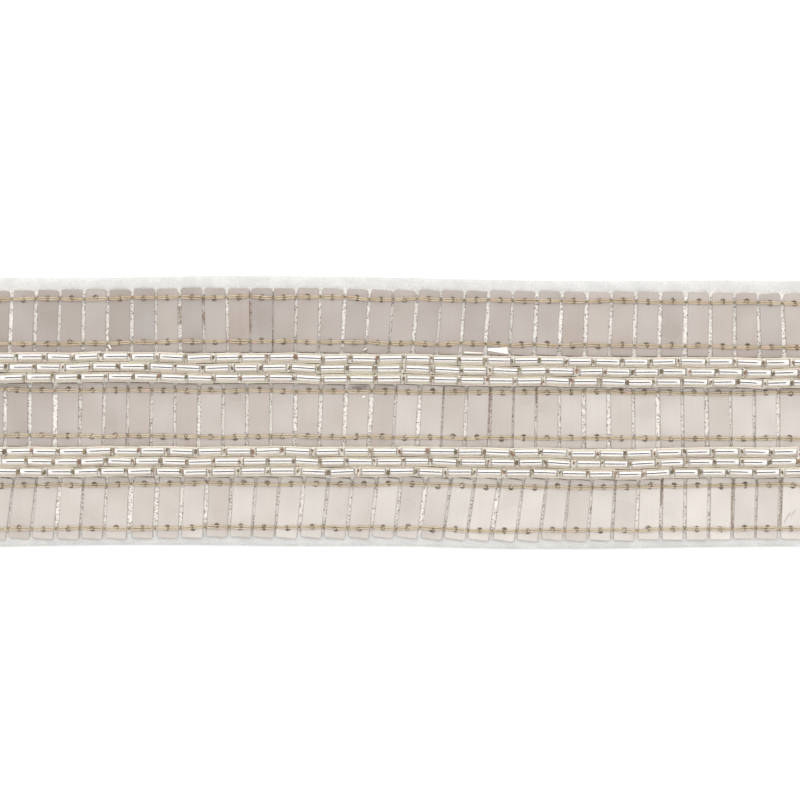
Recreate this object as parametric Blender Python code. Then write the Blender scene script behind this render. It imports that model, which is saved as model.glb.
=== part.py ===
"""A cut length of beaded tape trim, lying flat and face up.

An off-white net tape carries three rows of rectangular two-hole paillettes and, between them,
two bands of silver-lined bugle beads, three strands to a band. X runs along the tape, Y across
it and Z up. The origin is the centre of the underside. Tables are in millimetres.
"""

import random
from collections import namedtuple
from math import atan, cos, sin

import bpy

MM = 0.001

# Tape
TAPE_LENGTH = 162.0
TAPE_THICKNESS = 1.0
OUTLINE_STEP = 5.0
SEAT_GAP = 0.3

# Paillettes, and the two sewing threads that join each row of them
PAILLETTE_WIDTH = 4.03
PAILLETTE_LENGTH = 11.8
PAILLETTE_THICKNESS = 0.4
PAILLETTE_CHAMFER = 0.35
PAILLETTE_COUNT = 34
THREAD_WIDTH = 0.5
SHIFT_ALONG = 0.14
SHIFT_ACROSS = 0.10

# Bugle beads, strung on a thread that shows as a neck between two beads
BEAD_LENGTH = 4.65
BEAD_DIAMETER = 1.62
BEAD_SIDES_SETTING = 2
NECK_DIAMETER = 0.55
STRAND_PITCH = 1.92
BEAD_SHIFT_ALONG = 0.18
BEAD_SHIFT_ACROSS = 0.03
FIRST_JOINT = -1
LAST_JOINT = 30
END_MARGIN = 0.1

SEED = 7

# The tape's two cut edges, which wander a little along its length
Edge = namedtuple("Edge", "along far near")
TAPE_EDGES = (
    Edge(-80, 25.6, -25.6),
    Edge(-57, 25.6, -25.2),
    Edge(-38, 25.9, -25.2),
    Edge(-19, 25.9, -25.4),
    Edge(0, 25.6, -25.4),
    Edge(19, 25.2, -25.9),
    Edge(38, 25.0, -25.9),
    Edge(57, 25.1, -25.6),
    Edge(80, 25.1, -25.4),
)

# Each row of paillettes at every fourth gap between two of them: where that gap is along the
# tape, where the row's middle is across it, and how far the paillettes lean for their length
Gap = namedtuple("Gap", "number along across lean")
Row = namedtuple("Row", "name far_thread near_thread gaps")
PAILLETTE_ROWS = (
    Row(
        "upper",
        4.15,
        -4.25,
        (
            Gap(0, -73.9, 17.30, 0.035),
            Gap(4, -55.4, 17.50, 0.020),
            Gap(8, -37.3, 17.70, -0.020),
            Gap(12, -19.7, 17.70, 0.020),
            Gap(16, -1.6, 17.40, 0.080),
            Gap(20, 16.5, 17.20, 0.070),
            Gap(24, 35.2, 17.00, 0.045),
            Gap(28, 54.2, 16.90, 0.020),
            Gap(32, 72.7, 16.60, -0.045),
        ),
    ),
    Row(
        "middle",
        4.35,
        -4.2,
        (
            Gap(0, -74.9, -0.20, 0.000),
            Gap(4, -56.2, -0.25, 0.020),
            Gap(8, -38.1, -0.40, 0.010),
            Gap(12, -19.8, -0.40, 0.020),
            Gap(16, -1.0, -0.50, 0.065),
            Gap(20, 17.0, -0.65, 0.030),
            Gap(24, 34.9, -0.70, 0.000),
            Gap(28, 53.7, -0.75, -0.020),
            Gap(32, 71.9, -0.75, 0.000),
        ),
    ),
    Row(
        "lower",
        4.3,
        -3.95,
        (
            Gap(0, -73.9, -18.10, 0.120),
            Gap(4, -55.9, -18.05, 0.054),
            Gap(8, -36.8, -17.80, 0.050),
            Gap(12, -18.7, -17.90, 0.100),
            Gap(16, -0.3, -17.95, 0.115),
            Gap(20, 18.1, -18.40, 0.150),
            Gap(24, 36.2, -18.40, 0.085),
            Gap(28, 54.1, -18.25, 0.015),
            Gap(32, 72.2, -18.10, 0.035),
        ),
    ),
)

# The middle strand of each band, across the tape
Middle = namedtuple("Middle", "along far_band near_band")
BAND_MIDDLES = (
    Middle(-80, 8.45, -9.35),
    Middle(-57, 8.65, -9.3),
    Middle(-38, 8.45, -9.3),
    Middle(-19, 8.4, -9.3),
    Middle(0, 8.2, -9.35),
    Middle(19, 7.9, -9.45),
    Middle(38, 7.7, -9.8),
    Middle(57, 7.6, -9.5),
    Middle(80, 7.45, -9.3),
)

# The six strands: their band, their place in it, and where every seventh joint between two
# beads is along the tape
Strand = namedtuple("Strand", "name band place joints")
JOINTS_APART = 7
STRANDS = (
    Strand("bugles_1", "far_band", 1, (-72.6, -35.5, 0.8, 36.7, 74.3)),
    Strand("bugles_2", "far_band", 0, (-74.5, -37.2, 0.6, 38.8, 75.8)),
    Strand("bugles_3", "far_band", -1, (-76.0, -40.3, -4.6, 32.5, 69.2)),
    Strand("bugles_4", "near_band", 1, (-74.9, -38.8, 0.0, 37.2, 75.8)),
    Strand("bugles_5", "near_band", 0, (-76.0, -40.3, -4.8, 32.9, 70.1)),
    Strand("bugles_6", "near_band", -1, (-72.4, -36.1, 3.2, 40.9, 77.7)),
)

Finish = namedtuple("Finish", "color roughness metallic")
NET = Finish((0.86, 0.85, 0.81), 0.85, 0.0)
PEARL = Finish((0.62, 0.56, 0.51), 0.30, 0.0)
SILVER_GLASS = Finish((0.84, 0.84, 0.80), 0.12, 0.7)


def smooth_value(places, values, place):
    """The value at a place, on a smooth curve through the stations; straight past the ends."""
    last = len(places) - 1
    i = 0
    while i < last - 1 and place > places[i + 1]:
        i += 1
    slope = [0.0] * (last + 1)
    for k in range(last + 1):
        a, b = max(k - 1, 0), min(k + 1, last)
        slope[k] = (values[b] - values[a]) / (places[b] - places[a])
    if place <= places[0]:
        return values[0] + slope[0] * (place - places[0])
    if place >= places[last]:
        return values[last] + slope[last] * (place - places[last])
    span = places[i + 1] - places[i]
    t = (place - places[i]) / span
    return (
        values[i] * (1 + 2 * t) * (1 - t) ** 2
        + values[i + 1] * t * t * (3 - 2 * t)
        + slope[i] * span * t * (1 - t) ** 2
        - slope[i + 1] * span * t * t * (1 - t)
    )


def read(table, column, place, key="along"):
    """One column of a table of stations, at a place along its key column."""
    places = [getattr(row, key) for row in table]
    values = [getattr(row, column) for row in table]
    return smooth_value(places, values, place)


def strand_across(strand, along):
    """Where a strand's centre line is across the tape."""
    return read(BAND_MIDDLES, strand.band, along) + strand.place * STRAND_PITCH


def clear_of_strands(along, across, lean, reach):
    """How far a paillette may reach from its middle, across the tape, before it meets a strand."""
    keep_off = BEAD_DIAMETER / 2 + SEAT_GAP + abs(lean) * PAILLETTE_WIDTH / 2
    for strand in STRANDS:
        centre = strand_across(strand, along)
        if (centre - across) * reach > 0:
            room = abs(centre - across) - keep_off
            reach = min(abs(reach), room) * (1 if reach > 0 else -1)
    return reach


Paillette = namedtuple("Paillette", "along across lean far near")


def paillettes_of(row, chance):
    """The paillettes of a row: place, lean angle, and how far each reaches both ways."""
    found = []
    for number in range(PAILLETTE_COUNT):
        middle = number - 0.5
        along = read(row.gaps, "along", middle, "number") + chance.uniform(-1, 1) * SHIFT_ALONG
        across = read(row.gaps, "across", middle, "number") + chance.uniform(-1, 1) * SHIFT_ACROSS
        lean = read(row.gaps, "lean", middle, "number")
        far = clear_of_strands(along, across, lean, PAILLETTE_LENGTH / 2)
        near = clear_of_strands(along, across, lean, -PAILLETTE_LENGTH / 2)
        found.append(Paillette(along, across, atan(lean), far, near))
    return found


def on_paillette(piece, sideways, lengthways):
    """A point given in a paillette's own directions, as a point on the tape."""
    c, s = cos(piece.lean), sin(piece.lean)
    return (
        piece.along + sideways * c + lengthways * s,
        piece.across - sideways * s + lengthways * c,
    )


def end_outline(piece, reach, thread):
    """The outline of one end of a paillette, left to right, between its thread's two sides."""
    half, cut = PAILLETTE_WIDTH / 2, PAILLETTE_CHAMFER
    away = 1 if reach > 0 else -1
    side = thread + away * THREAD_WIDTH / 2
    corners = (
        (-half, side),
        (-half, reach - away * cut),
        (-half + cut, reach),
        (half - cut, reach),
        (half, reach - away * cut),
        (half, side),
    )
    return [on_paillette(piece, u, v) for u, v in corners]


def row_outlines(row, pieces):
    """The row's outer outline, and the outline of the open gap between each two paillettes."""
    half, inside = PAILLETTE_WIDTH / 2, THREAD_WIDTH / 2
    far_side, near_side = [], []
    for piece in pieces:
        far_side += end_outline(piece, piece.far, row.far_thread)
        near_side += end_outline(piece, piece.near, row.near_thread)
    far_side, near_side = far_side[1:-1], near_side[1:-1]
    gaps = []
    for left, right in zip(pieces, pieces[1:]):
        gaps.append(
            [
                on_paillette(left, half, row.far_thread - inside),
                on_paillette(right, -half, row.far_thread - inside),
                on_paillette(right, -half, row.near_thread + inside),
                on_paillette(left, half, row.near_thread + inside),
            ]
        )
    return [far_side + near_side[::-1]] + gaps


def tape_outline():
    """The tape's outline, along its far edge and back along its near one."""
    steps = round(TAPE_LENGTH / OUTLINE_STEP)
    places = [TAPE_LENGTH * (i / steps - 0.5) for i in range(steps + 1)]
    far = [(x, read(TAPE_EDGES, "far", x)) for x in places]
    near = [(x, read(TAPE_EDGES, "near", x)) for x in places]
    return far + near[::-1]


def strand_points(strand, chance):
    """(point, radius share) along a strand: both ends of each bead, and the neck after it."""
    joint_numbers = [JOINTS_APART * i for i in range(len(strand.joints))]
    reach = TAPE_LENGTH / 2 - END_MARGIN
    neck = NECK_DIAMETER / BEAD_DIAMETER
    beads = []
    for number in range(FIRST_JOINT, LAST_JOINT):
        shift = chance.uniform(-1, 1) * BEAD_SHIFT_ALONG
        centre = smooth_value(joint_numbers, strand.joints, number + 0.5) + shift
        ends = (centre - BEAD_LENGTH / 2, centre + BEAD_LENGTH / 2)
        offsets = [chance.uniform(-1, 1) * BEAD_SHIFT_ACROSS for _ in ends]
        if -reach <= ends[0] and ends[1] <= reach:
            beads.append([(x, strand_across(strand, x) + dy) for x, dy in zip(ends, offsets)])
    found = []
    for bead, after in zip(beads, beads[1:] + [None]):
        found += [(point, 1.0) for point in bead]
        if after:
            (x0, y0), (x1, y1) = bead[1], after[0]
            found.append((((x0 + x1) / 2, (y0 + y1) / 2), neck))
    return found


def material_named(name, finish):
    """A material with one colour, roughness and metallic value."""
    material = bpy.data.materials.new(name)
    material.use_nodes = True
    shader = material.node_tree.nodes["Principled BSDF"]
    shader.inputs["Base Color"].default_value = (*finish.color, 1.0)
    shader.inputs["Roughness"].default_value = finish.roughness
    shader.inputs["Metallic"].default_value = finish.metallic
    return material


def add_curve(collection, name, dimensions, material):
    """An empty curve object in the collection."""
    curve = bpy.data.curves.new(name, "CURVE")
    curve.dimensions = dimensions
    curve.materials.append(material)
    obj = bpy.data.objects.new(name, curve)
    collection.objects.link(obj)
    return obj


def add_spline(curve, points, closed):
    """A spline of straight runs through points given in millimetres, in the XY plane."""
    spline = curve.splines.new("POLY")
    spline.points.add(len(points) - 1)
    for target, (x, y) in zip(spline.points, points):
        target.co = (x * MM, y * MM, 0.0, 1.0)
    spline.use_cyclic_u = closed
    return spline


def add_flat_piece(collection, name, outlines, thickness, underside, material):
    """A flat plate with the given outlines; those inside the first are open."""
    obj = add_curve(collection, name, "2D", material)
    obj.data.fill_mode = "BOTH"
    obj.data.extrude = thickness * MM / 2
    obj.location.z = (underside + thickness / 2) * MM
    for outline in outlines:
        add_spline(obj.data, outline, closed=True)
    return obj


def add_strand(collection, strand, chance, material):
    """A strand of bugle beads, lying on the tape."""
    obj = add_curve(collection, strand.name, "3D", material)
    obj.data.bevel_depth = BEAD_DIAMETER * MM / 2
    obj.data.bevel_resolution = BEAD_SIDES_SETTING
    obj.data.use_fill_caps = True
    obj.location.z = (TAPE_THICKNESS + SEAT_GAP + BEAD_DIAMETER / 2) * MM
    points = strand_points(strand, chance)
    spline = add_spline(obj.data, [point for point, _ in points], closed=False)
    for target, (_, share) in zip(spline.points, points):
        target.radius = share
    return obj


def clear_scene():
    for obj in list(bpy.data.objects):
        bpy.data.objects.remove(obj)


def build():
    clear_scene()
    collection = bpy.data.collections.new("beaded_tape_trim")
    bpy.context.scene.collection.children.link(collection)
    net = material_named("net", NET)
    pearl = material_named("pearl", PEARL)
    silver_glass = material_named("silver_glass", SILVER_GLASS)

    add_flat_piece(collection, "tape", [tape_outline()], TAPE_THICKNESS, 0.0, net)

    seat = TAPE_THICKNESS + SEAT_GAP
    for index, row in enumerate(PAILLETTE_ROWS):
        pieces = paillettes_of(row, random.Random(SEED + index))
        outlines = row_outlines(row, pieces)
        name = "paillettes_" + row.name
        add_flat_piece(collection, name, outlines, PAILLETTE_THICKNESS, seat, pearl)

    for index, strand in enumerate(STRANDS):
        chance = random.Random(SEED + len(PAILLETTE_ROWS) + index)
        add_strand(collection, strand, chance, silver_glass)


build()
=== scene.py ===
"""The looks of a cut length of beaded tape trim, lying face up under soft studio light.

An off-white net tape carries three rows of pearly two-hole paillettes, held by tan sewing thread,
and between them two bands of silver-lined bugle beads, three strands to a band. X runs along the
tape, Y across it and Z up. Tables and sizes are in millimetres, and MM turns them into metres.
"""

import random
from collections import namedtuple
from math import atan, cos, exp, pi, radians, sin, sqrt, tan

import bpy
import numpy as np
from mathutils.geometry import tessellate_polygon
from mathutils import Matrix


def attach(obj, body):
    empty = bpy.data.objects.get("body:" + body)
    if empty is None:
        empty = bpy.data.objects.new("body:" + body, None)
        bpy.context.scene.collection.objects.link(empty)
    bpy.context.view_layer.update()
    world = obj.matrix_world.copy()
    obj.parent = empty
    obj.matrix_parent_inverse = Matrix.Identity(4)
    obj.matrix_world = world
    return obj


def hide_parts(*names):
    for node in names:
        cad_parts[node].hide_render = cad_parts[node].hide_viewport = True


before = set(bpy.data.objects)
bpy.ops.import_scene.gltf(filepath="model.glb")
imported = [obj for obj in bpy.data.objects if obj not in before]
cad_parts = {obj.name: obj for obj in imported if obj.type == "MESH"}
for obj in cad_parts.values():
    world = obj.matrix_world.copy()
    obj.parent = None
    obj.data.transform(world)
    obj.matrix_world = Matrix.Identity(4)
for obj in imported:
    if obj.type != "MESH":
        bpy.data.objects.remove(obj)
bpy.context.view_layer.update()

MM = 0.001
SEED = 7

# Tape
TAPE_LENGTH = 162.0
TAPE_TOP = 1.0
TAPE_EDGE_TOP = 0.55
TAPE_MARGIN = 1.6
TAPE_STEP = 0.6
TAPE_ROWS = 86
TAPE_RELIEF = 0.03
TAPE_BARE = 2.2
TAPE_BARE_FADE = 0.6

# Paillettes
PAILLETTE_WIDTH = 3.93
PAILLETTE_LENGTH = 11.8
PAILLETTE_COUNT = 34
PAILLETTE_THICKNESS = 0.32
PAILLETTE_SEAT = 1.03
PAILLETTE_CORNER = 0.37
PAILLETTE_BEVEL = 0.07
SHIFT_ALONG = 0.14
SHIFT_ACROSS = 0.10
HOLE_RADIUS = 0.44
HOLE_RING = 0.14
HOLE_SHIFT = 0.16
TUCK_LIMIT = 0.74
FAR_END_LIMIT = 1.04
TUCK_LENGTH = 0.4
TILT_LIMIT = 1.3

# Bugle beads
BEAD_LENGTH = 4.65
BEAD_RADIUS = 0.96
BEAD_BEVEL = 0.04
BORE_MOUTH = 0.45
LINING_INSET = 0.10
LINING_LEAST = 0.16
JOINT_GAP = 0.04
BEAD_HEIGHT = 2.09
BEAD_SIDES = 36
STRAND_PITCH = 1.92
BEAD_SHIFT_ALONG = 0.18
BEAD_SHIFT_ACROSS = 0.05
BAND_WANDER = 0.07
FIRST_JOINT = -1
LAST_JOINT = 30
JOINTS_APART = 7
END_MARGIN = 0.1

# Sewing thread
PLY_RADIUS = 0.165
PLY_APART = 0.175
LINE_HEIGHT = PAILLETTE_SEAT + PAILLETTE_THICKNESS + PLY_RADIUS + 0.02
LINE_DIP = 0.22
LINE_DIP_WIDTH = 0.34
LINE_STEPS = 14
THREAD_SIDES = 7

# The tape's two cut edges, which wander a little along its length
Edge = namedtuple("Edge", "along far near")
TAPE_EDGES = (
    Edge(-80, 25.6, -25.6),
    Edge(-57, 25.6, -25.2),
    Edge(-38, 25.9, -25.2),
    Edge(-19, 25.9, -25.4),
    Edge(0, 25.6, -25.4),
    Edge(19, 25.2, -25.9),
    Edge(38, 25.0, -25.9),
    Edge(57, 25.1, -25.6),
    Edge(80, 25.1, -25.4),
)

# Each row of paillettes at every fourth gap between two of them: where that gap is along the
# tape, where the row's middle is across it, and how far the paillettes lean for their length
Gap = namedtuple("Gap", "number along across lean")
Row = namedtuple("Row", "name far_thread near_thread gaps")
PAILLETTE_ROWS = (
    Row(
        "upper",
        4.15,
        -4.25,
        (
            Gap(0, -73.9, 17.30, 0.035),
            Gap(4, -55.4, 17.50, 0.020),
            Gap(8, -37.3, 17.70, -0.020),
            Gap(12, -19.7, 17.70, 0.020),
            Gap(16, -1.6, 17.40, 0.080),
            Gap(20, 16.5, 17.20, 0.070),
            Gap(24, 35.2, 17.00, 0.045),
            Gap(28, 54.2, 16.90, 0.020),
            Gap(32, 72.7, 16.60, -0.045),
        ),
    ),
    Row(
        "middle",
        4.5,
        -4.2,
        (
            Gap(0, -74.9, -0.20, 0.000),
            Gap(4, -56.2, -0.25, 0.020),
            Gap(8, -38.1, -0.40, 0.010),
            Gap(12, -19.8, -0.40, 0.020),
            Gap(16, -1.0, -0.50, 0.065),
            Gap(20, 17.0, -0.65, 0.030),
            Gap(24, 34.9, -0.70, 0.000),
            Gap(28, 53.7, -0.75, -0.020),
            Gap(32, 71.9, -0.75, 0.000),
        ),
    ),
    Row(
        "lower",
        4.3,
        -3.95,
        (
            Gap(0, -73.9, -18.10, 0.120),
            Gap(4, -55.9, -18.05, 0.054),
            Gap(8, -36.8, -17.80, 0.050),
            Gap(12, -18.7, -17.90, 0.100),
            Gap(16, -0.3, -17.95, 0.115),
            Gap(20, 18.1, -18.40, 0.150),
            Gap(24, 36.2, -18.40, 0.085),
            Gap(28, 54.1, -18.25, 0.015),
            Gap(32, 72.2, -18.10, 0.035),
        ),
    ),
)

# The middle strand of each band, across the tape
Middle = namedtuple("Middle", "along far_band near_band")
BAND_MIDDLES = (
    Middle(-80, 8.45, -9.35),
    Middle(-57, 8.65, -9.3),
    Middle(-38, 8.45, -9.3),
    Middle(-19, 8.4, -9.3),
    Middle(0, 8.2, -9.35),
    Middle(19, 7.9, -9.45),
    Middle(38, 7.7, -9.8),
    Middle(57, 7.6, -9.5),
    Middle(80, 7.45, -9.3),
)

# The six strands: their band, their place in it, and where every seventh joint between two
# beads is along the tape
Strand = namedtuple("Strand", "name band place joints")
STRANDS = (
    Strand("bugles_1", "far_band", 1, (-72.6, -35.5, 0.8, 36.7, 74.3)),
    Strand("bugles_2", "far_band", 0, (-74.5, -37.2, 0.6, 38.8, 75.8)),
    Strand("bugles_3", "far_band", -1, (-76.0, -40.3, -4.6, 32.5, 69.2)),
    Strand("bugles_4", "near_band", 1, (-74.9, -38.8, 0.0, 37.2, 75.8)),
    Strand("bugles_5", "near_band", 0, (-76.0, -40.3, -4.8, 32.9, 70.1)),
    Strand("bugles_6", "near_band", -1, (-72.4, -36.1, 3.2, 40.9, 77.7)),
)

# Each row's tone from the left end to the right one, a painted sheen that grows paler that way, and
# the paleness of its thread
Tone = namedtuple("Tone", "row left right thread")
ROW_TONES = (
    Tone("upper", 0.385, 0.465, 0.0),
    Tone("middle", 0.44, 0.585, 0.10),
    Tone("lower", 0.545, 0.615, 0.16),
)


def smooth_value(places, values, place):
    """The value at a place, on a smooth curve through the stations; straight past the ends."""
    last = len(places) - 1
    i = 0
    while i < last - 1 and place > places[i + 1]:
        i += 1
    slope = [0.0] * (last + 1)
    for k in range(last + 1):
        a, b = max(k - 1, 0), min(k + 1, last)
        slope[k] = (values[b] - values[a]) / (places[b] - places[a])
    if place <= places[0]:
        return values[0] + slope[0] * (place - places[0])
    if place >= places[last]:
        return values[last] + slope[last] * (place - places[last])
    span = places[i + 1] - places[i]
    t = (place - places[i]) / span
    return (
        values[i] * (1 + 2 * t) * (1 - t) ** 2
        + values[i + 1] * t * t * (3 - 2 * t)
        + slope[i] * span * t * (1 - t) ** 2
        - slope[i + 1] * span * t * t * (1 - t)
    )


def read(table, column, place, key="along"):
    """One column of a table of stations, at a place along its key column."""
    places = [getattr(row, key) for row in table]
    values = [getattr(row, column) for row in table]
    return smooth_value(places, values, place)


def strand_across(strand, along):
    """Where a strand's centre line is across the tape, as its whole band wanders a little."""
    wander = BAND_WANDER * (sin(along / 1.9) + sin(along / 4.3 + 1))
    return read(BAND_MIDDLES, strand.band, along) + strand.place * STRAND_PITCH + wander


def clear_of_strands(along, across, reach):
    """How far a paillette may reach from its middle, across the tape.

    Its near end tucks under a strand's side, and its far end stops just short of one."""
    way, limit = (1, FAR_END_LIMIT) if reach > 0 else (-1, TUCK_LIMIT)
    centres = [strand_across(strand, along) - across for strand in STRANDS]
    rooms = [centre * way - limit for centre in centres if centre * way > 0]
    return way * min([abs(reach) + TUCK_LENGTH, *rooms]) if rooms else reach


# Joined meshes


class Batch:
    """Many small meshes gathered into one, with a value of each kind at every point."""

    def __init__(self, *kinds):
        self.points, self.faces, self.slots, self.smooth = [], [], [], []
        self.values = {kind: [] for kind in kinds}

    def add(self, points, faces, slots=None, smooth=True, **values):
        """Adds a mesh. A value is one number or vector for all its points, or one for each."""
        start = len(self.points)
        self.points.extend(map(tuple, points))
        self.faces.extend([start + i for i in face] for face in faces)
        self.slots.extend(slots or [0] * len(faces))
        self.smooth.extend([smooth] * len(faces))
        for kind, found in self.values.items():
            value = values[kind]
            each = isinstance(value, (list, np.ndarray)) and len(value) == len(points)
            found.extend(value if each else [value] * len(points))

    def build(self, name, materials, sharp_angle=40):
        """The gathered mesh as an object, in metres, with the values as named attributes."""
        mesh = bpy.data.meshes.new(name)
        mesh.from_pydata([(x * MM, y * MM, z * MM) for x, y, z in self.points], [], self.faces)
        for material in materials:
            mesh.materials.append(material)
        mesh.polygons.foreach_set("material_index", self.slots)
        mesh.polygons.foreach_set("use_smooth", self.smooth)
        for kind, found in self.values.items():
            vector = isinstance(found[0], (tuple, list, np.ndarray))
            data_type = "FLOAT_VECTOR" if vector else "FLOAT"
            attribute = mesh.attributes.new(kind, data_type, "POINT")
            field = "vector" if vector else "value"
            attribute.data.foreach_set(field, np.array(found, np.float32).ravel())
        mesh.set_sharp_from_angle(angle=radians(sharp_angle))
        mesh.update()
        obj = bpy.data.objects.new(name, mesh)
        bpy.context.scene.collection.objects.link(obj)
        return obj


def turned(points, about_x=0.0, about_y=0.0, about_z=0.0):
    """Points turned about X, then Y, then Z, in radians."""
    points = np.asarray(points, float)
    for axis, angle in enumerate((about_x, about_y, about_z)):
        a, b = (axis + 1) % 3, (axis + 2) % 3
        c, s = cos(angle), sin(angle)
        moved = points.copy()
        moved[:, a] = points[:, a] * c - points[:, b] * s
        moved[:, b] = points[:, a] * s + points[:, b] * c
        points = moved
    return points


def tube(path, radius, reference, sides=THREAD_SIDES):
    """A closed tube along a path that never runs along the reference direction.

    Returns its points, its faces, and for each point its length along and turn round the tube."""
    path = np.array(path, float)
    steps = np.diff(path, axis=0)
    tangent = np.vstack([steps[:1], steps[:-1] + steps[1:], steps[-1:]])
    tangent /= np.linalg.norm(tangent, axis=1)[:, None]
    side = np.cross(tangent, reference)
    side /= np.linalg.norm(side, axis=1)[:, None]
    other = np.cross(side, tangent)
    along = np.concatenate([[0.0], np.cumsum(np.linalg.norm(steps, axis=1))])
    radii = np.broadcast_to(radius, len(path))
    points, winds = [], []
    for centre, s, o, r, length in zip(path, side, other, radii, along):
        for k in range(sides):
            angle = 2 * pi * k / sides
            points.append(centre + r * (cos(angle) * s + sin(angle) * o))
            winds.append((length, k / sides, 0.0))
    faces = []
    for i in range(len(path) - 1):
        for k in range(sides):
            a, b = i * sides + k, i * sides + (k + 1) % sides
            faces.append((a, a + sides, b + sides, b))
    last = (len(path) - 1) * sides
    faces.append(tuple(range(sides)))
    faces.append(tuple(last + k for k in reversed(range(sides))))
    return points, faces, winds


# Materials


class Nodes:
    """A material's node tree, with short ways to add and link its nodes."""

    def __init__(self, name):
        self.material = bpy.data.materials.new(name)
        self.material.use_nodes = True
        self.tree = self.material.node_tree
        self.shader = self.tree.nodes["Principled BSDF"]

    def add(self, kind, inputs=None, **settings):
        """A node of that kind. An input takes a value, or another node's output."""
        node = self.tree.nodes.new("ShaderNode" + kind)
        for key, value in settings.items():
            setattr(node, key, value)
        for key, value in (inputs or {}).items():
            self.feed(node.inputs[key], value)
        return node

    def feed(self, socket, value):
        if isinstance(value, bpy.types.NodeSocket):
            self.tree.links.new(value, socket)
        else:
            socket.default_value = value

    def set(self, **sockets):
        """Sets or links sockets of the shader, with _ for a space in a socket's name."""
        for key, value in sockets.items():
            self.feed(self.shader.inputs[key.replace("_", " ")], value)

    def attribute(self, name, output="Fac"):
        return self.add("Attribute", attribute_name=name).outputs[output]

    def place(self, scale=(1, 1, 1)):
        """The point's place on the object in millimetres, stretched by scale."""
        place = self.add("TexCoord").outputs["Object"]
        size = [s / MM for s in scale]
        return self.add("Mapping", {"Vector": place, "Scale": size}).outputs["Vector"]

    def math(self, operation, first, second=0.0, clamp=False):
        node = self.add("Math", {0: first, 1: second}, operation=operation, use_clamp=clamp)
        return node.outputs[0]

    def mapped(self, value, low, high, new_low, new_high):
        names = ("Value", "From Min", "From Max", "To Min", "To Max")
        node = self.add("MapRange", dict(zip(names, (value, low, high, new_low, new_high))))
        return node.outputs[0]

    def eased(self, value, low, high):
        """How far the value is from low to high, eased so that no edge shows at either."""
        inputs = {"Value": value, "From Min": low, "From Max": high}
        return self.add("MapRange", inputs, interpolation_type="SMOOTHSTEP").outputs[0]

    def noise(self, vector, scale, detail=2.0, roughness=0.5):
        inputs = {"Vector": vector, "Scale": scale, "Detail": detail, "Roughness": roughness}
        return self.add("TexNoise", inputs).outputs["Fac"]

    def mix(self, share, first, second, blend="MIX"):
        node = self.add("Mix", data_type="RGBA", blend_type=blend)
        self.feed(node.inputs[0], share)
        self.feed(node.inputs[6], first)
        self.feed(node.inputs[7], second)
        return node.outputs[2]

    def shaded(self, color, factor):
        """A colour times a factor that changes over the surface."""
        grey = self.add("CombineColor", {"Red": factor, "Green": factor, "Blue": factor})
        return self.mix(1.0, color, grey.outputs[0], "MULTIPLY")

    def bump(self, height, strength, distance):
        inputs = {"Height": height, "Strength": strength, "Distance": distance * MM}
        self.set(Normal=self.add("Bump", inputs).outputs[0])


def rgb(red, green, blue):
    return (red, green, blue, 1.0)


NET_CREAM = rgb(0.57, 0.56, 0.535)
NET_WHITE = rgb(0.685, 0.675, 0.65)
NET_BRIGHTENED_BETWEEN = rgb(0.82, 0.77, 0.71)
NET_PIT_SHADE = rgb(0.20, 0.155, 0.12)
NET_GLINT = rgb(1.0, 0.985, 0.96)
NET_PITCH = 0.42


def net_material():
    """Fine off-white net, frosted at the margins; where it shows between pieces it is painted
    lighter against their shade and speckled with painted glints and painted shade.
    """
    n = Nodes("net")
    place = n.place()
    warp = n.add(
        "TexWave",
        {"Vector": n.place((1 / NET_PITCH, 0, 0)), "Scale": 1.0, "Distortion": 0.0},
        bands_direction="X",
    )
    weft = n.add(
        "TexWave",
        {"Vector": n.place((0, 1 / NET_PITCH, 0)), "Scale": 1.0, "Distortion": 0.0},
        bands_direction="Y",
    )
    weave = n.math("MULTIPLY", warp.outputs["Fac"], weft.outputs["Fac"])
    grain = n.noise(place, 3.2, detail=3.0, roughness=0.65)
    speck = n.add("TexVoronoi", {"Vector": place, "Scale": 2.9})
    kind = n.add("SeparateColor", {"Color": speck.outputs["Color"]}).outputs["Red"]
    round_speck = n.mapped(speck.outputs["Distance"], 0.30, 0.55, 1.0, 0.0)
    cloud = n.noise(place, 0.35, detail=2.0)
    base = n.mix(n.mapped(grain, 0.35, 0.65, 0.0, 1.0), NET_CREAM, NET_WHITE)
    inside = n.attribute("inside")
    # Between the pieces the net is painted lighter, to make up for the shade the pieces cast there.
    base = n.mix(inside, base, NET_BRIGHTENED_BETWEEN)
    inside = n.math("MULTIPLY", inside, round_speck)
    # Dark specks of painted shade in the net's holes.
    pit_shades = n.math("MULTIPLY", inside, n.mapped(kind, 0.36, 0.44, 0.8, 0.0))
    base = n.mix(pit_shades, base, NET_PIT_SHADE)
    # Bright specks of painted highlight.
    glints = n.math("MULTIPLY", inside, n.mapped(kind, 0.46, 0.54, 0.0, 1.0))
    base = n.mix(glints, base, NET_GLINT)
    base = n.shaded(base, n.mapped(cloud, 0.3, 0.7, 0.92, 1.05))
    height = n.math("ADD", n.math("MULTIPLY", weave, 0.5), grain)
    n.bump(height, 0.35, 0.12)
    n.set(Base_Color=base, Roughness=n.mapped(grain, 0.3, 0.7, 0.62, 0.85))
    n.set(Specular_IOR_Level=0.35, Sheen_Weight=0.15, Sheen_Roughness=0.5)
    return n.material


PEARL_TAUPE = rgb(1.0, 0.845, 0.735)
PEARL_LILAC = rgb(0.950, 0.860, 0.805)
PEARL_PALE = rgb(1.0, 0.940, 0.865)
PEARL_HOLE_SHADE_AND_STAIN = rgb(0.20, 0.13, 0.07)
PEARL_EDGE_SHADE = rgb(0.36, 0.30, 0.255)


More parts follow.
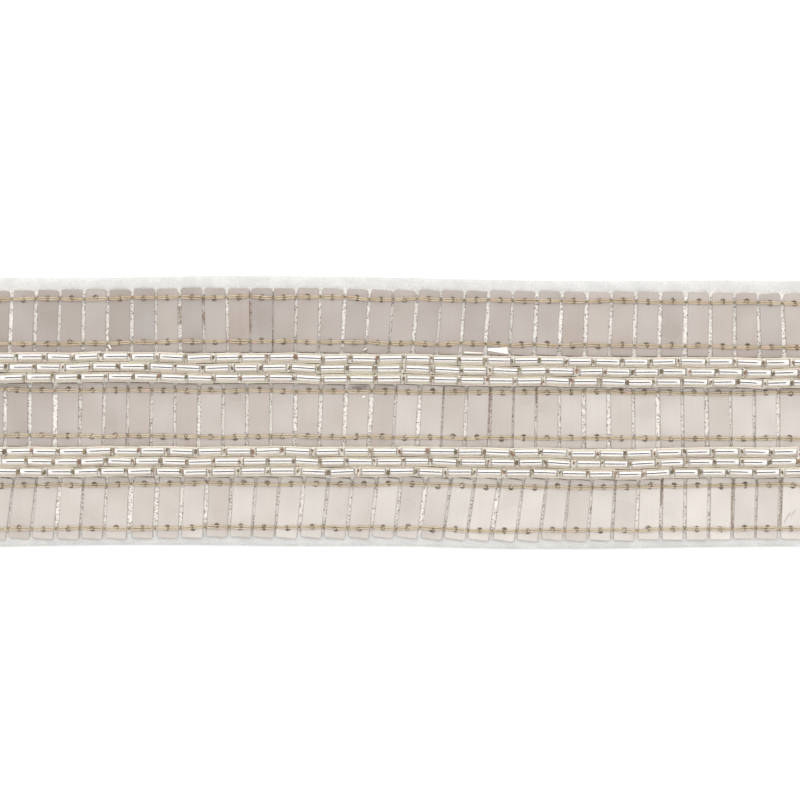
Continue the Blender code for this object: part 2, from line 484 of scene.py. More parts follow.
def pearl_material():
    """Pearlised plastic, each paillette with its own tint and soft clouding, its tone carrying a
    painted sheen, and painted shade on its edges and in its holes.
    """
    n = Nodes("pearl")
    local = n.attribute("local", "Vector")
    # The clouding is partly the nacre's own and partly a painted pearly sheen.
    cloud = n.eased(n.noise(local, 0.13, detail=1.0, roughness=0.4), 0.05, 0.95)
    streak = n.noise(n.add("Mapping", {"Vector": local, "Scale": (1.6, 0.10, 1)}).outputs[0], 1.0)
    tint = n.math("ADD", n.attribute("tint"), n.mapped(cloud, 0.0, 1.0, -0.3, 0.3))
    base = n.mix(tint, PEARL_TAUPE, PEARL_LILAC)
    # The row's tone is a painted sheen, paler to the right and in the lower rows; each plate's tone
    # also varies a little at random.
    base = n.mix(n.mapped(n.attribute("tone"), 0.44, 0.60, 0.0, 0.75), base, PEARL_PALE)
    tone = n.math("MULTIPLY", n.attribute("tone"), n.mapped(cloud, 0.0, 1.0, 0.91, 1.09))
    tone = n.math("MULTIPLY", tone, n.mapped(streak, 0.3, 0.7, 0.985, 1.015))
    base = n.shaded(base, tone)
    # Painted shade on the plates' walls and bevels.
    base = n.mix(n.math("MULTIPLY", n.attribute("edge"), 0.75), base, PEARL_EDGE_SHADE)
    # Painted shade inside the holes and round their rims, stained brown.
    base = n.mix(n.attribute("stain"), base, PEARL_HOLE_SHADE_AND_STAIN)
    n.bump(n.noise(local, 0.5, detail=1.0), 0.12, 0.4)
    n.set(Base_Color=base, Roughness=n.mapped(cloud, 0.0, 1.0, 0.22, 0.44))
    n.set(Coat_Weight=0.25, Coat_Roughness=0.15)
    return n.material


def glass_material():
    """Drawn glass, clear over the lining and milky round it, with fine lines along the bead."""
    n = Nodes("bead_glass")
    lines = n.noise(n.place((0.35, 7.0, 7.0)), 1.0, detail=1.0)
    tinge = n.noise(n.place((0.25, 1.2, 1.2)), 1.0, detail=1.0)
    share = n.math("ADD", n.attribute("shade"), n.mapped(tinge, 0.3, 0.7, -0.4, 0.4), clamp=True)
    milky = n.attribute("milky")
    base = n.mix(share, rgb(0.92, 0.87, 0.72), rgb(0.92, 0.81, 0.70))
    base = n.mix(milky, rgb(0.95, 0.93, 0.91), base)
    n.bump(lines, 0.03, 0.05)
    n.set(Base_Color=base, Roughness=n.mapped(lines, 0.3, 0.7, 0.02, 0.06))
    n.set(Transmission_Weight=n.mapped(milky, 0.0, 1.0, 0.96, 0.2))
    n.set(IOR=1.1, Coat_Weight=1.0, Coat_Roughness=0.04)
    return n.material


def lining_material():
    """The silvered bore, a little tarnished here and there, and dull and pale down its flanks, which
    are painted darker near the top, where the light falls full, and lighter towards the seams, which
    lie in shade.
    """
    n = Nodes("silver_lining")
    spots = n.noise(n.place((0.5, 2.0, 2.0)), 1.0, detail=3.0)
    tarnish = n.mapped(spots, 0.55, 0.75, 0.0, 0.4)
    base = n.mix(tarnish, rgb(0.70, 0.68, 0.67), rgb(0.55, 0.52, 0.47))
    pale = n.attribute("milky")
    worn = n.noise(n.place((0.3, 2.2, 2.2)), 1.0, detail=2.0)
    wear = n.mapped(worn, 0.35, 0.65, 0.0, 1.0)
    flank = n.mix(wear, rgb(0.92, 0.87, 0.71), rgb(0.93, 0.82, 0.70))
    # Painted light and shade: the flanks darker near the top and lighter down the sides.
    flank = n.shaded(flank, n.mapped(n.attribute("side"), 0.40, 0.98, 0.45, 1.0))
    base = n.mix(pale, base, flank)
    sheen = n.mapped(spots, 0.3, 0.7, 0.06, 0.13)
    n.set(Base_Color=base, Metallic=n.mapped(pale, 0.0, 1.0, 1.0, 0.1))
    n.set(Roughness=n.math("ADD", sheen, n.math("MULTIPLY", pale, 0.4)))
    return n.material


def cut_glass_material():
    """The ground ends of the beads."""
    n = Nodes("cut_glass")
    grain = n.noise(n.place(), 6.0, detail=2.0)
    base = n.mix(grain, rgb(0.88, 0.80, 0.68), rgb(0.96, 0.90, 0.82))
    n.bump(grain, 0.3, 0.05)
    n.set(Base_Color=base, Roughness=n.mapped(grain, 0.3, 0.7, 0.35, 0.55))
    n.set(Transmission_Weight=0.55, IOR=1.5)
    return n.material


THREAD_TAN = rgb(0.48, 0.375, 0.245)
THREAD_PALE = rgb(0.58, 0.49, 0.35)
THREAD_PINK = rgb(0.60, 0.43, 0.33)
THREAD_CREAM = rgb(0.66, 0.59, 0.47)
THREAD_OLIVE = rgb(0.15, 0.11, 0.055)
THREAD_RED = rgb(0.36, 0.17, 0.11)


def thread_material():
    """Spun sewing thread: a slanting twist with painted shade in its grooves, and a colour that
    drifts along it.
    """
    n = Nodes("thread")
    wind = n.add("SeparateXYZ", {"Vector": n.attribute("wind", "Vector")})
    slant = n.math("ADD", n.math("MULTIPLY", wind.outputs["X"], 2.6), wind.outputs["Y"])
    twist = n.math("SINE", n.math("MULTIPLY", slant, 2 * pi))
    drift = n.noise(n.place(), 0.45, detail=2.0)
    fibre = n.noise(n.place(), 9.0, detail=2.0)
    blush = n.noise(n.place(), 0.6, detail=1.0)
    base = n.mix(n.mapped(drift, 0.35, 0.65, 0.0, 1.0), THREAD_TAN, THREAD_PALE)
    base = n.mix(n.mapped(blush, 0.55, 0.68, 0.0, 0.8), base, THREAD_PINK)
    olive = n.attribute("olive")
    base = n.mix(n.mapped(olive, -0.5, 0.0, 1.0, 0.0), base, THREAD_CREAM)
    # Darkened: the dark of knots and stitches, and painted shade where the row threads sink into the
    # gaps.
    base = n.mix(n.math("ADD", olive, 0.0, clamp=True), base, THREAD_OLIVE)
    base = n.mix(n.attribute("red"), base, THREAD_RED)
    # Painted shade in the grooves of the twist.
    base = n.shaded(base, n.mapped(twist, -1.0, 1.0, 0.90, 1.04))
    base = n.shaded(base, n.mapped(fibre, 0.3, 0.7, 0.9, 1.06))
    n.bump(n.math("ADD", twist, fibre), 0.5, 0.06)
    n.set(Base_Color=base, Roughness=n.mapped(fibre, 0.3, 0.7, 0.5, 0.75))
    n.set(Sheen_Weight=0.2, Sheen_Roughness=0.4)
    return n.material


# Tape


def make_tape():
    """The net: flat underneath, its top a little uneven, and pressed thinner along its edges."""
    chance = random.Random(SEED + 100)
    columns = round(TAPE_LENGTH / TAPE_STEP)
    rows = TAPE_ROWS
    places = [TAPE_LENGTH * (i / columns - 0.5) for i in range(columns + 1)]
    top, bottom, inside = [], [], []
    for x in places:
        far, near = read(TAPE_EDGES, "far", x), read(TAPE_EDGES, "near", x)
        for j in range(rows + 1):
            y = near + (far - near) * j / rows
            depth = min(far - y, y - near, TAPE_MARGIN) / TAPE_MARGIN
            rise = sqrt(max(0.0, 1 - (1 - depth) ** 2))
            z = TAPE_EDGE_TOP + (TAPE_TOP - TAPE_EDGE_TOP) * rise
            top.append((x, y, z + chance.uniform(-1, 1) * TAPE_RELIEF - TAPE_RELIEF))
            bottom.append((x, y, 0.0))
            # How far the net lies within the pieces' span: there its colour is painted lighter and
            # speckled with painted glints and painted shade.
            bare = min(far - y, y - near, TAPE_LENGTH / 2 - abs(x))
            inside.append(min(1.0, max(0.0, (bare - TAPE_BARE) / TAPE_BARE_FADE)))
    count, across = len(top), rows + 1
    faces = []
    for i in range(columns):
        for j in range(rows):
            a = i * across + j
            faces.append((a, a + across, a + across + 1, a + 1))
            faces.append((count + a, count + a + 1, count + a + across + 1, count + a + across))
    for i in range(columns):
        a, b = i * across, i * across + rows
        faces.append((a, count + a, count + a + across, a + across))
        faces.append((b, b + across, count + b + across, count + b))
    end = columns * across
    for j in range(rows):
        faces.append((j, j + 1, count + j + 1, count + j))
        faces.append((end + j, count + end + j, count + end + j + 1, end + j + 1))
    batch = Batch("inside")
    batch.add(top + bottom, faces, inside=inside + inside)
    tape = batch.build("net_tape", [net_material()], sharp_angle=60)
    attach(tape, "root")
    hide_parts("tape")


# Paillettes


def rounded_rectangle(half_width, far, near, corner, steps=5):
    """A rectangle with round corners, anticlockwise, from its lower right corner."""
    points = []
    corners = (
        (half_width - corner, near + corner, -90),
        (half_width - corner, far - corner, 0),
        (-half_width + corner, far - corner, 90),
        (-half_width + corner, near + corner, 180),
    )
    for x, y, start in corners:
        for i in range(steps):
            angle = radians(start + 90 * i / (steps - 1))
            points.append((x + corner * cos(angle), y + corner * sin(angle)))
    return points


def circle(x, y, radius, sides=16):
    """A circle, clockwise, as the outline of a hole."""
    angles = [-2 * pi * k / sides for k in range(sides)]
    return [(x + radius * cos(a), y + radius * sin(a)) for a in angles]


def paillette_mesh(far, near, holes):
    """A flat plate with rounded corners and bevelled edges, pierced by its holes.

    Returns its points and faces, and for each point its painted edge shade and the painted shade,
    stained brown, in its holes."""
    half, bevel = PAILLETTE_WIDTH / 2, PAILLETTE_BEVEL
    # Each level: its inset, its height, its painted edge shade, and the painted shade in the holes.
    levels = (
        (bevel + HOLE_RING, PAILLETTE_THICKNESS, 0.0, 0.0),
        (bevel, PAILLETTE_THICKNESS, 0.15, 0.45),
        (0.0, PAILLETTE_THICKNESS - bevel, 1.0, 0.8),
        (0.0, bevel, 1.0, 0.8),
        (bevel, 0.0, 0.0, 0.5),
    )
    points, edges, hole_shades_and_stains, rings = [], [], [], []
    for inset, z, edge, stain in levels:
        corner = PAILLETTE_CORNER - inset
        loops = [rounded_rectangle(half - inset, far - inset, near + inset, corner)]
        loops += [circle(x, y, HOLE_RADIUS + inset) for x, y in holes]
        rings.append([])
        for number, loop in enumerate(loops):
            rings[-1].append(range(len(points), len(points) + len(loop)))
            points += [(x, y, z) for x, y in loop]
            edges += [edge] * len(loop)
            hole_shades_and_stains += [0.0 if number == 0 else stain] * len(loop)
    faces = []
    for upper, lower in zip(rings, rings[1:]):
        for a, b in zip(upper, lower):
            for k in range(len(a)):
                m = (k + 1) % len(a)
                faces.append((a[k], b[k], b[m], a[m]))
    for ring, flip in ((rings[0], False), (rings[-1], True)):
        index = [i for loop in ring for i in loop]
        flat = [[(*points[i][:2], 0.0) for i in loop] for loop in ring]
        for triangle in tessellate_polygon(flat):
            a, b, c = (points[index[i]] for i in triangle)
            upward = (b[0] - a[0]) * (c[1] - a[1]) - (b[1] - a[1]) * (c[0] - a[0]) > 0
            order = triangle if upward != flip else triangle[::-1]
            faces.append(tuple(index[i] for i in order))
    return points, faces, edges, hole_shades_and_stains


Paillette = namedtuple("Paillette", "along across lean far near")


def paillettes_of(row, chance):
    """The paillettes of a row, placed as in the solids; their ends follow the strands here."""
    found = []
    for number in range(PAILLETTE_COUNT):
        middle = number - 0.5
        along = read(row.gaps, "along", middle, "number") + chance.uniform(-1, 1) * SHIFT_ALONG
        across = read(row.gaps, "across", middle, "number") + chance.uniform(-1, 1) * SHIFT_ACROSS
        lean = read(row.gaps, "lean", middle, "number")
        far = clear_of_strands(along, across, PAILLETTE_LENGTH / 2)
        near = clear_of_strands(along, across, -PAILLETTE_LENGTH / 2)
        found.append(Paillette(along, across, atan(lean), far, near))
    return found


# Small bright chips broken from paillettes, stuck where they fell, painted white as glints, and a
# few dull smears
Chip = namedtuple("Chip", "row along across length left_width right_width turn tone")
CHIPS = (
    Chip("upper", 18.6, 11.85, 3.9, 0.40, 1.35, -3, 1.0),
    Chip("upper", 14.0, 11.35, 3.6, 0.34, 0.16, -2, 1.0),
    Chip("upper", -55.1, 12.45, 0.9, 0.18, 0.36, 118, 1.0),
    Chip("upper", -6.6, 12.05, 0.8, 0.14, 0.30, 35, 1.0),
    Chip("middle", -6.9, 3.0, 0.6, 0.2, 0.3, 10, 1.0),
    Chip("middle", -7.7, 4.75, 2.9, 0.30, 0.45, 2, 0.30),
    Chip("lower", 73.5, -19.9, 2.2, 0.14, 0.24, 60, 0.50),
    Chip("lower", 74.6, -19.1, 1.6, 0.12, 0.20, 57, 0.53),
)


def add_chip(batch, chip):
    """A thin sliver, wider at one end, on top of the plates."""
    half, z = chip.length / 2, PAILLETTE_SEAT + PAILLETTE_THICKNESS
    low, high = z - 0.04, z + 0.14
    corners = ((-half, -chip.left_width / 2), (half, -chip.right_width / 2))
    corners += ((half * 0.9, chip.right_width / 2), (-half, chip.left_width / 2))
    points = [(x, y, level) for level in (low, high) for x, y in corners]
    points = turned(points, about_z=radians(chip.turn)) + (chip.along, chip.across, 0)
    faces = [(3, 2, 1, 0), (4, 5, 6, 7)]
    faces += [(k, (k + 1) % 4, (k + 1) % 4 + 4, k + 4) for k in range(4)]
    looks = {"tint": 0.8, "tone": chip.tone, "edge": 0.0, "stain": 0.0}
    batch.add(points, faces, smooth=False, local=points, **looks)


def make_paillettes(row, index, material):
    """A row of paillettes, each with its own tilt, tint and tone; the tone carries the row's painted
    sheen.
    """
    layout = random.Random(SEED + index)
    chance = random.Random(SEED + 200 + index)
    tone_of_row = ROW_TONES[index]
    batch = Batch("local", "tint", "tone", "edge", "stain")
    for piece in paillettes_of(row, layout):
        holes = [
            (chance.uniform(-1, 1) * HOLE_SHIFT, line + chance.uniform(-1, 1.4) * HOLE_SHIFT)
            for line in (row.far_thread, row.near_thread)
        ]
        points, faces, edges, hole_shades_and_stains = paillette_mesh(piece.far, piece.near, holes)
        offset = np.array([chance.uniform(0, 400) for _ in range(3)])
        local = np.array(points) + offset
        tip, roll = (radians(chance.uniform(-1, 1) * TILT_LIMIT) for _ in range(2))
        tip *= 0.35
        points = turned(points, tip, roll, -piece.lean)
        lift = PAILLETTE_SEAT - points[:, 2].min()
        points += (piece.along, piece.across, lift)
        # The tone is a painted sheen that pales towards the right end.
        share = 0.5 + piece.along / TAPE_LENGTH
        tone = tone_of_row.left + (tone_of_row.right - tone_of_row.left) * share
        batch.add(
            points,
            faces,
            smooth=False,
            local=local,
            tint=chance.uniform(0.3, 0.7),
            tone=tone * chance.uniform(0.94, 1.06),
            edge=edges,
            stain=hole_shades_and_stains,
        )
    for chip in CHIPS:
        if chip.row == row.name:
            add_chip(batch, chip)
    plates = batch.build("paillettes_" + row.name + "_row", [material])
    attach(plates, "root")
    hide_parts("paillettes_" + row.name)


# Bugle beads

Bead = namedtuple("Bead", "start end")


def beads_of(strand, chance):
    """Both ends of each bead's lining, (along, across).

    They are placed along the tape as in the solids, and a little more unevenly across it."""
    joint_numbers = [JOINTS_APART * i for i in range(len(strand.joints))]
    reach = TAPE_LENGTH / 2 - END_MARGIN
    found = []
    for number in range(FIRST_JOINT, LAST_JOINT):
        shift = chance.uniform(-1, 1) * BEAD_SHIFT_ALONG
        centre = smooth_value(joint_numbers, strand.joints, number + 0.5) + shift
        ends = (centre - BEAD_LENGTH / 2, centre + BEAD_LENGTH / 2)
        offsets = [chance.uniform(-1, 1) * BEAD_SHIFT_ACROSS for _ in ends]
        if -reach <= ends[0] and ends[1] <= reach:
            points = [(x, strand_across(strand, x) + dy) for x, dy in zip(ends, offsets)]
            found.append(Bead(*points))
    return found


Loop = namedtuple("Loop", "along radius slot milky")
OUTSIDE, LINED, CUT = range(3)

# Where the clear top of the glass turns milky, and the silver pale, on each side of the top, and
# over what span, as shares of the radius
Turn = namedtuple("Turn", "far near span")
GLASS_TURN = Turn(0.70, 0.70, 0.14)
LINING_TURN = Turn(0.52, 0.35, 0.08)

# How the silvered bore rounds off at its ends: the depth from its end, and the radius there, and
# how dull it is
Taper = namedtuple("Taper", "depth radius dull")
LINING_TAPER = (
    Taper(0.0, 0.55, 1),
    Taper(0.04, 0.66, 1),
    Taper(0.12, 0.74, 0.6),
    Taper(0.22, 0.78, 0),
)


def bead_mesh(length, radius, insets):
    """A glass tube whose silvered bore stops short of its ends.

    Each face's slot is its kind of surface. Returns the points, faces and slots, and for each
    point how milky it is, down the flanks and past the ends of the lining, and how far it is
    round from the top."""
    half, bevel = length / 2, BEAD_BEVEL
    left, right = insets[0] - half, half - insets[1]
    profile = [
        Loop(-half, BORE_MOUTH, CUT, 1),
        Loop(-half, radius - bevel, OUTSIDE, 1),
        Loop(-half + bevel, radius, OUTSIDE, 1),
        Loop(left, radius, OUTSIDE, 0),
        Loop(right, radius, OUTSIDE, 0),
        Loop(half - bevel, radius, OUTSIDE, 1),
        Loop(half, radius - bevel, CUT, 1),
        Loop(half, BORE_MOUTH, CUT, 1),
    ]
    profile += [Loop(right - t.depth, t.radius, LINED, t.dull) for t in LINING_TAPER]
    profile += [Loop(left + t.depth, t.radius, LINED, t.dull) for t in reversed(LINING_TAPER)]
    profile[-1] = profile[-1]._replace(slot=CUT)
    points, faces, slots, milky, sides = [], [], [], [], []
    for loop in profile:
        turn = LINING_TURN if loop.slot == LINED else GLASS_TURN
        for k in range(BEAD_SIDES):
            angle = 2 * pi * k / BEAD_SIDES
            points.append((loop.along, loop.radius * cos(angle), loop.radius * sin(angle)))
            start = turn.far if cos(angle) > 0 else turn.near
            flank = (abs(cos(angle)) - start) / turn.span
            milky.append(min(1.0, max(loop.milky, flank, 0.0)))
            # How far round from the top; the lining paints its flanks' light and shade by this.
            sides.append(abs(cos(angle)))
    for i, loop in enumerate(profile):
        a, b = i * BEAD_SIDES, (i + 1) % len(profile) * BEAD_SIDES
        for k in range(BEAD_SIDES):
            m = (k + 1) % BEAD_SIDES
            faces.append((b + k, b + m, a + m, a + k))
            slots.append(loop.slot)
    return points, faces, slots, milky, sides


def make_strand(strand, index, materials):
    """A strand of bugle beads, each a little out of line with the next."""
    layout = random.Random(SEED + len(PAILLETTE_ROWS) + index)
    chance = random.Random(SEED + 300 + index)
    batch = Batch("shade", "milky", "side")
    beads = beads_of(strand, layout)
    joints = [(left.end[0] + right.start[0]) / 2 for left, right in zip(beads, beads[1:])]
    starts = [beads[0].start[0]] + [x + JOINT_GAP / 2 for x in joints]
    ends = [x - JOINT_GAP / 2 for x in joints] + [beads[-1].end[0]]
    for bead, start, end in zip(beads, starts, ends):
        (x0, y0), (x1, y1) = bead
        slope = (y1 - y0) / (x1 - x0)
        radius = BEAD_RADIUS * chance.uniform(0.975, 1.0)
        spare = [LINING_INSET * chance.uniform(-1.0, 2.0) for _ in range(2)]
        insets = [max(LINING_LEAST, x0 - start + spare[0]), max(LINING_LEAST, end - x1 + spare[1])]
        points, faces, slots, milky, sides = bead_mesh(end - start, radius, insets)
        yaw = atan(slope) + radians(chance.uniform(-1.3, 1.3))
        pitch = radians(chance.uniform(-0.6, 0.6))
        points = turned(points, radians(chance.uniform(-5, 5)), pitch, yaw)
        middle = (start + end) / 2
        points += (middle, y0 + slope * (middle - x0), BEAD_HEIGHT)
        batch.add(points, faces, slots, shade=chance.uniform(0, 1), milky=milky, side=sides)
    obj = batch.build(strand.name + "_strand", materials)
    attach(obj, "root")
    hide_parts(strand.name)
    return beads


# Threads


def thread_line(batch, row, offset, paleness, chance):
    """A doubled thread along a row: apart over each paillette, together and sunk in each gap, with
    painted shade that deepens as it sinks.
    """
    numbers = range(-1, PAILLETTE_COUNT)
    gaps = []
    for n in numbers:
        lean = read(row.gaps, "lean", n, "number")
        x = read(row.gaps, "along", n, "number") + lean * offset
        y = read(row.gaps, "across", n, "number") + offset + chance.uniform(-0.18, 0.18)
        gaps.append((x, y))
    for side in (-1, 1):
        path, dip_shades = [], []
        for (x0, y0), (x1, y1) in zip(gaps, gaps[1:]):
            apart = PLY_APART * chance.uniform(0.85, 1.25)
            dark = chance.uniform(0.6, 1.2)
            for i in range(LINE_STEPS):
                t = i / LINE_STEPS
                x = x0 + (x1 - x0) * t
                near = min(t, 1 - t) * (x1 - x0)
                dip = LINE_DIP * exp(-((near / LINE_DIP_WIDTH) ** 2))
                spread = side * apart * min(1.0, 0.25 + 1.5 * sin(pi * t))
                y = y0 + (y1 - y0) * t * t * (3 - 2 * t) + spread
                path.append((x, y, LINE_HEIGHT - dip))
                # Painted shade, deeper where the thread sinks, less the row's paleness.
                dip_shades += [dark * dip / LINE_DIP - paleness] * THREAD_SIDES
        path.append((*gaps[-1], LINE_HEIGHT - LINE_DIP))
        dip_shades += [1.0] * THREAD_SIDES
        points, faces, winds = tube(path, PLY_RADIUS, (0, 0, 1))
        batch.add(points, faces, wind=winds, olive=dip_shades, red=0.0)


STITCH_RADIUS = 0.072
STITCH_STEPS = 10
STITCH_LIFT = 0.06
STITCH_OVER_WIDTH = 0.55
PLATE_TOP = PAILLETTE_SEAT + PAILLETTE_THICKNESS

# The shapes that the fine stitches at the holes take: arcs, each with its middle across the line,
# its radius, and the angles where it starts and ends
Arc = namedtuple("Arc", "across radius start end")
STITCHES = (
    (Arc(0.0, 0.36, -60, 170),),
    (Arc(0.0, 0.34, 60, 350),),
    (Arc(0.20, 0.21, 150, -90), Arc(-0.22, 0.22, 90, -150)),
    (Arc(0.22, 0.22, 170, -90), Arc(-0.20, 0.20, 90, -120)),
    (Arc(0.20, 0.21, 30, 270), Arc(-0.22, 0.23, 90, -140)),
    (Arc(0.12, 0.26, -20, 250), Arc(-0.26, 0.16, 60, -160)),
)


def stitch_path(arcs, x, y, line):
    """A fine stitch of arcs about a hole, over the line where it crosses that."""
    path = []
    for arc in arcs:
        for i in range(STITCH_STEPS + 1):
            angle = radians(arc.start + (arc.end - arc.start) * i / STITCH_STEPS)
            px, py = x + arc.radius * cos(angle), y + arc.across + arc.radius * sin(angle)
            over = exp(-(((py - line) / STITCH_OVER_WIDTH) ** 2))
            rise = over * (LINE_HEIGHT + PLY_RADIUS - PLATE_TOP)
            path.append((px, py, PLATE_TOP + STITCH_LIFT + rise))
    return path


def hole_threads(batch, row, index):
    """At each hole, a pale end of thread deep in it and a fine brown stitch round its rim: the pale
    end paints the hole's light centre, and the stitch paints the shade round its rim.
    """
    layout = random.Random(SEED + index)
    chance = random.Random(SEED + 400 + index)
    for piece in paillettes_of(row, layout):
        for offset in (row.far_thread, row.near_thread):
            line = piece.across + offset
            x = piece.along + offset * sin(piece.lean) + chance.uniform(-0.12, 0.12)
            y = line + chance.uniform(-0.2, 0.25)
            # A pale stub that stands as the hole's painted light centre.
            path = [(x, y, PAILLETTE_SEAT + 0.1), (x, y, PLATE_TOP + 0.02)]
            points, faces, winds = tube(path, chance.uniform(0.20, 0.30), (1, 0, 0))
            batch.add(points, faces, wind=winds, olive=-0.5, red=0.0)
            # A dark stitch round the rim, which also paints the rim's shade.
            path = stitch_path(chance.choice(STITCHES), x, y, line)
            points, faces, winds = tube(path, STITCH_RADIUS, (0, 0, 1))
            batch.add(points, faces, wind=winds, olive=chance.uniform(0.6, 1.0), red=0.0)


# Loose brown and red threads that lie in some gaps: where each starts and ends, from its row's
# middle, and how red it is
Stray = namedtuple("Stray", "row gap far near red")
STRAYS = (
    Stray("upper", 7, 2.5, -0.9, 0.5),
    Stray("upper", 8, 3.9, 2.7, 0.1),
    Stray("upper", 8, 1.2, -0.9, 0.6),
    Stray("upper", 10, 3.3, -2.6, 0.8),
    Stray("middle", 20, 5.8, -3.3, 0.9),
    Stray("middle", 22, 5.9, 2.5, 0.8),
    Stray("lower", 27, 5.7, 0.7, 0.7),
    Stray("lower", 30, 5.8, -4.0, 0.4),
    Stray("lower", 32, 6.0, -3.3, 0.4),
)
STRAY_RADIUS = 0.07
STRAY_SWAY = 0.22
STRAY_STEP = 0.34
STRAY_HEIGHTS = (1.12, 1.30)


def stray_threads(batch, row, chance):
    """The loose threads of a row, each swaying from side to side in its gap."""
    for stray in STRAYS:
        if stray.row != row.name:
            continue
        along, across, lean = (
            read(row.gaps, column, stray.gap, "number") for column in ("along", "across", "lean")
        )
        count = round((stray.far - stray.near) / STRAY_STEP)
        path = []
        for i in range(count + 1):
            offset = stray.far + (stray.near - stray.far) * i / count
            sway = STRAY_SWAY * (-1) ** i * chance.uniform(0.2, 1)
            height = chance.uniform(*STRAY_HEIGHTS)
            path.append((along + lean * offset + sway, across + offset, height))
        points, faces, winds = tube(path, STRAY_RADIUS, (1, 0, 0))
        batch.add(points, faces, wind=winds, olive=0.5 - 0.5 * stray.red, red=stray.red)


def make_row_threads():
    """The six doubled lines that hold the paillettes, and the stitches in their holes."""
    batch = Batch("wind", "olive", "red")
    for index, row in enumerate(PAILLETTE_ROWS):
        for number, offset in enumerate((row.far_thread, row.near_thread)):
            chance = random.Random(SEED + 500 + 2 * index + number)
            thread_line(batch, row, offset, ROW_TONES[index].thread, chance)
        hole_threads(batch, row, index)
        stray_threads(batch, row, random.Random(SEED + 700 + index))
    return batch


STRAND_THREAD_RADIUS = 0.17
KNOT_HEIGHT = BEAD_HEIGHT + 0.82
KNOT_TOP_RISE = 0.16
KNOT_TOP_LENGTH = 0.5
KNOT_TOP_WIDTH = 0.55
KNOT_REACHES = (0.42, 0.36, 0.14, -0.14, -0.36, -0.42)
KNOT_RADII = (0.06, 0.18, 0.28, 0.28, 0.18, 0.06)


# The tail that some knots have: how far down the tape from the knot each point is, and how high
# above the middle of the beads
Tail = namedtuple("Tail", "down above")
KNOT_TAIL = (Tail(0.0, 0.98), Tail(0.4, 0.93), Tail(0.7, 0.72), Tail(0.9, 0.42))
TAIL_SHARE = 0.4
TAIL_RADIUS = 0.085


def knot_tail(batch, x, y, chance):
    """An end of thread that runs from a knot over the side of its bead."""
    slant = chance.uniform(-0.4, 0.4)
    path = [(x + slant * t.down, y - t.down, BEAD_HEIGHT + t.above) for t in KNOT_TAIL]
    points, faces, winds = tube(path, TAIL_RADIUS, (1, 0, 0))
    olive, red = chance.uniform(-0.3, 0.7), chance.uniform(0, 0.6)
    batch.add(points, faces, wind=winds, olive=olive, red=red)


def strand_thread(batch, beads, chance):
    """The thread through a strand's beads, and a knot in two parts over each joint."""
    path = []
    for bead in beads:
        path += [(*bead.start, BEAD_HEIGHT), (*bead.end, BEAD_HEIGHT)]
    points, faces, winds = tube(path, STRAND_THREAD_RADIUS, (0, 0, 1))
    batch.add(points, faces, wind=winds, olive=0.35, red=0.0)
    for left, right in zip(beads, beads[1:]):
        (x0, y0), (x1, y1) = left.end, right.start
        x = (x0 + x1) / 2 + chance.uniform(-0.08, 0.08)
        y = (y0 + y1) / 2 + chance.uniform(-0.08, 0.30)
        size, lean = chance.uniform(0.8, 1.3), chance.uniform(-0.5, 0.5)
        path = [(x + lean * reach, y - size * reach, KNOT_HEIGHT) for reach in KNOT_REACHES]
        points, faces, winds = tube(path, [size * r for r in KNOT_RADII], (0, 0, 1))
        red = chance.uniform(0.4, 0.9) if chance.random() < 0.15 else 0.0
        batch.add(points, faces, wind=winds, olive=chance.uniform(0.4, 1.0), red=red)
        x, y = x + chance.uniform(-0.2, 0.2), y + chance.uniform(-0.15, 0.2)
        length, height = KNOT_TOP_LENGTH * size, KNOT_HEIGHT + KNOT_TOP_RISE
        path = [(x, y - length * reach, height) for reach in KNOT_REACHES]
        points, faces, winds = tube(path, [KNOT_TOP_WIDTH * size * r for r in KNOT_RADII], (0, 0, 1))
        batch.add(points, faces, wind=winds, olive=1.0, red=0.0)
        if chance.random() < TAIL_SHARE:
            knot_tail(batch, (x0 + x1) / 2, (y0 + y1) / 2, chance)


def make_threads(strands):
    """All the sewing thread, as one piece."""
    batch = make_row_threads()
    for index, beads in enumerate(strands):
        strand_thread(batch, beads, random.Random(SEED + 600 + index))
    threads = batch.build("sewing_threads", [thread_material()])
    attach(threads, "root")


# Studio

SCALE = 0.19
PHOTO_SIZE = 800
FRAME_WIDTH = PHOTO_SIZE * SCALE
FRAME_CENTRE_ACROSS = 2.375
LENS = 110
SENSOR = 36
CAMERA_DISTANCE = FRAME_WIDTH * LENS / SENSOR


def make_floor():
    """A plain white table top."""
    bpy.ops.mesh.primitive_plane_add(size=12, location=(0, 0, 0))
    floor = bpy.context.object
    floor.name = "floor"
    n = Nodes("white_table")
    n.set(Base_Color=rgb(0.93, 0.93, 0.93), Roughness=0.9, Specular_IOR_Level=0.1)
    floor.data.materials.append(n.material)


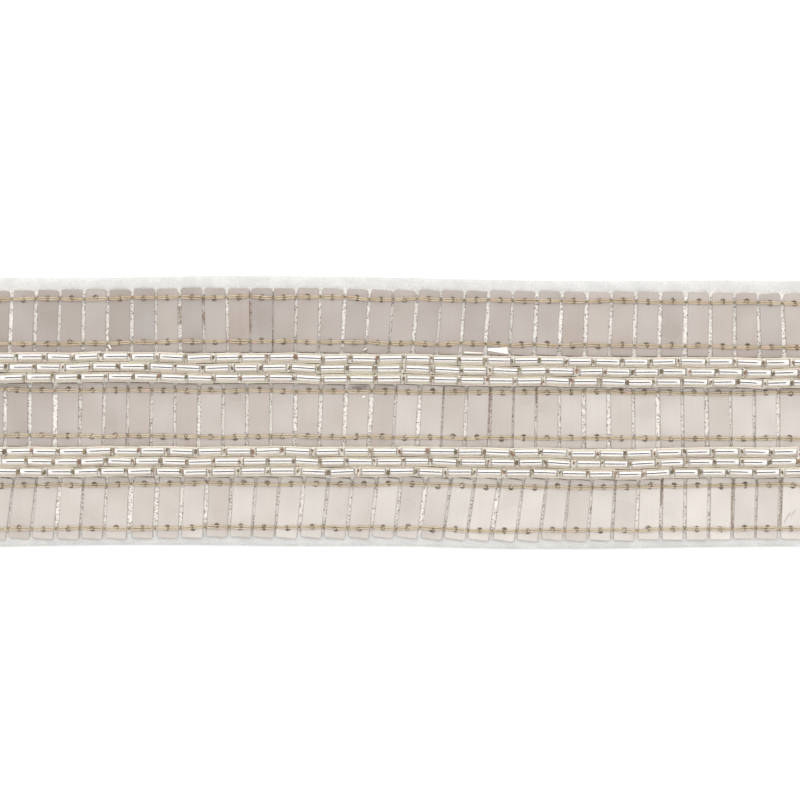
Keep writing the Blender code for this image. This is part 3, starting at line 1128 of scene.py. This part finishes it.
# Soft boxes: the angles from straight up between which each one lies, leaning to +Y, in degrees;
# how far off it is and where its ends are along X, in metres; and how bright it is
Box = namedtuple("Box", "name start end distance left right radiance")
BOXES = (
    Box("back_box", 28, 87, 0.80, -1.1, 1.1, 2.0),
    Box("front_box", -66, -8, 0.80, -1.1, 1.1, 1.35),
    Box("front_fill", -88, -67, 0.95, -1.1, 1.1, 0.8),
    Box("left_bridge", -8, 28, 0.78, -1.1, -0.38, 1.6),
    Box("right_bridge", -8, 28, 0.78, 0.38, 1.1, 1.6),
)


def make_light(box):
    """A flat soft box, square to the trim, that faces it."""
    middle, half = radians((box.start + box.end) / 2), radians((box.end - box.start) / 2)
    data = bpy.data.lights.new(box.name, "AREA")
    data.shape = "RECTANGLE"
    data.size = box.right - box.left
    data.size_y = 2 * box.distance * tan(half)
    data.energy = box.radiance * pi * data.size * data.size_y
    light = bpy.data.objects.new(box.name, data)
    along = (box.left + box.right) / 2
    light.location = (along, box.distance * sin(middle), box.distance * cos(middle))
    light.rotation_euler = (-middle, 0, 0)
    light.visible_camera = False
    bpy.context.scene.collection.objects.link(light)


def make_studio():
    """Soft boxes with a dark gap straight overhead, a dim room, and a plain view of the light."""
    for box in BOXES:
        make_light(box)
    world = bpy.data.worlds.new("room")
    world.use_nodes = True
    background = world.node_tree.nodes["Background"]
    background.inputs["Color"].default_value = rgb(0.96, 0.97, 1.0)
    background.inputs["Strength"].default_value = 0.2
    scene = bpy.context.scene
    scene.world = world
    scene.view_settings.view_transform = "Standard"


def make_camera():
    """Straight above the trim, with the photograph's frame."""
    data = bpy.data.cameras.new("camera")
    data.lens = LENS
    data.sensor_width = SENSOR
    camera = bpy.data.objects.new("camera", data)
    camera.location = (0, FRAME_CENTRE_ACROSS * MM, (CAMERA_DISTANCE + TAPE_TOP) * MM)
    bpy.context.scene.collection.objects.link(camera)
    bpy.context.scene.camera = camera


make_camera()
make_studio()
make_floor()
make_tape()
pearl = pearl_material()
for index, row in enumerate(PAILLETTE_ROWS):
    make_paillettes(row, index, pearl)
bead_materials = [glass_material(), lining_material(), cut_glass_material()]
strands = [make_strand(strand, i, bead_materials) for i, strand in enumerate(STRANDS)]
make_threads(strands)
